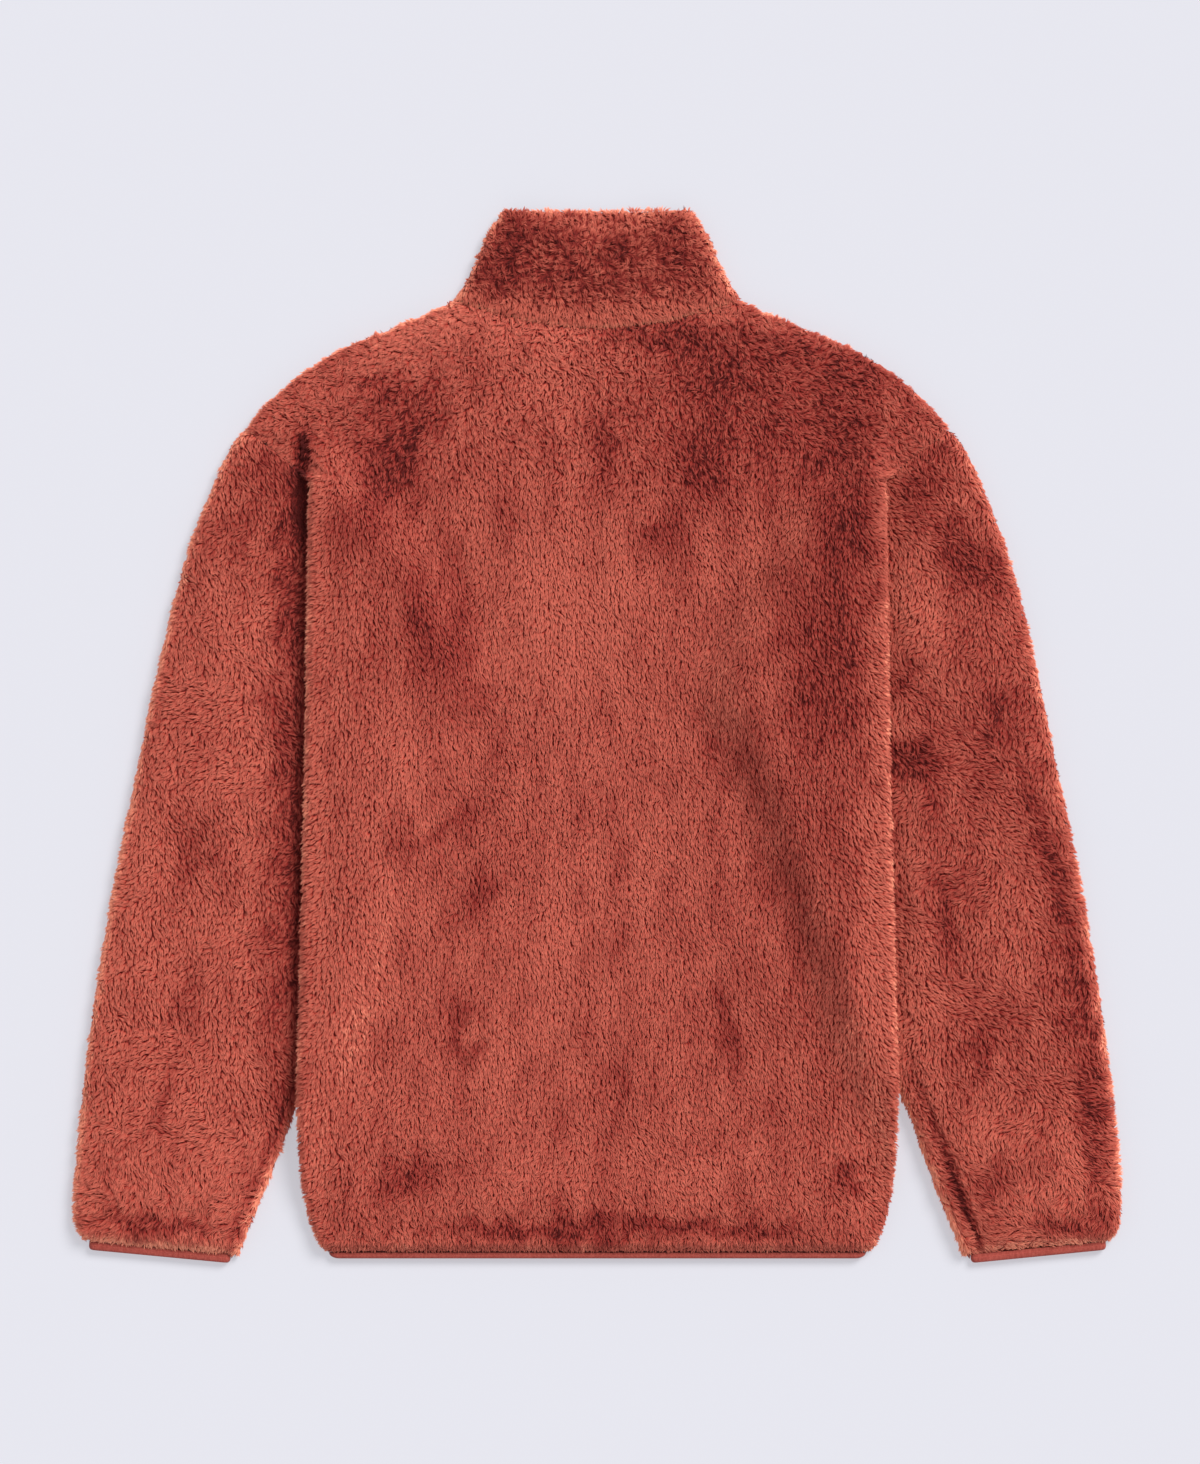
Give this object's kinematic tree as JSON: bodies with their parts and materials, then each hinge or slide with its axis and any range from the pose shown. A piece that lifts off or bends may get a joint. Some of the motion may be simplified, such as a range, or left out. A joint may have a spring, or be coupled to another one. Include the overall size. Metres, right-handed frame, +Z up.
{
  "type": "sherpa fleece pullover",
  "caption": "Pullover of high-pile fleece with a stand collar, drop shoulders and long sleeves, bound at cuffs and hem, laid flat on its front with its back up.",
  "frame": {"origin": "middle of the surface that the pullover lies on, below the middle of its outline", "axes": "+Z up, out of the surface; +Y towards the collar; +X to the right as seen from above, where the wearer's right sleeve lies"},
  "size_m": [0.7432, 0.75, 0.034],
  "materials": {
    "fleece": "high pile, matte",
    "binding": "smooth knitted tape"
  },
  "bodies": {
    "root": {"back_panel": "fleece", "front_panel": "fleece", "sleeve_left": "fleece", "sleeve_right": "fleece", "collar": "fleece", "hem_binding": "binding", "cuff_binding_left": "binding", "cuff_binding_right": "binding"}
  },
  "joints": []
}
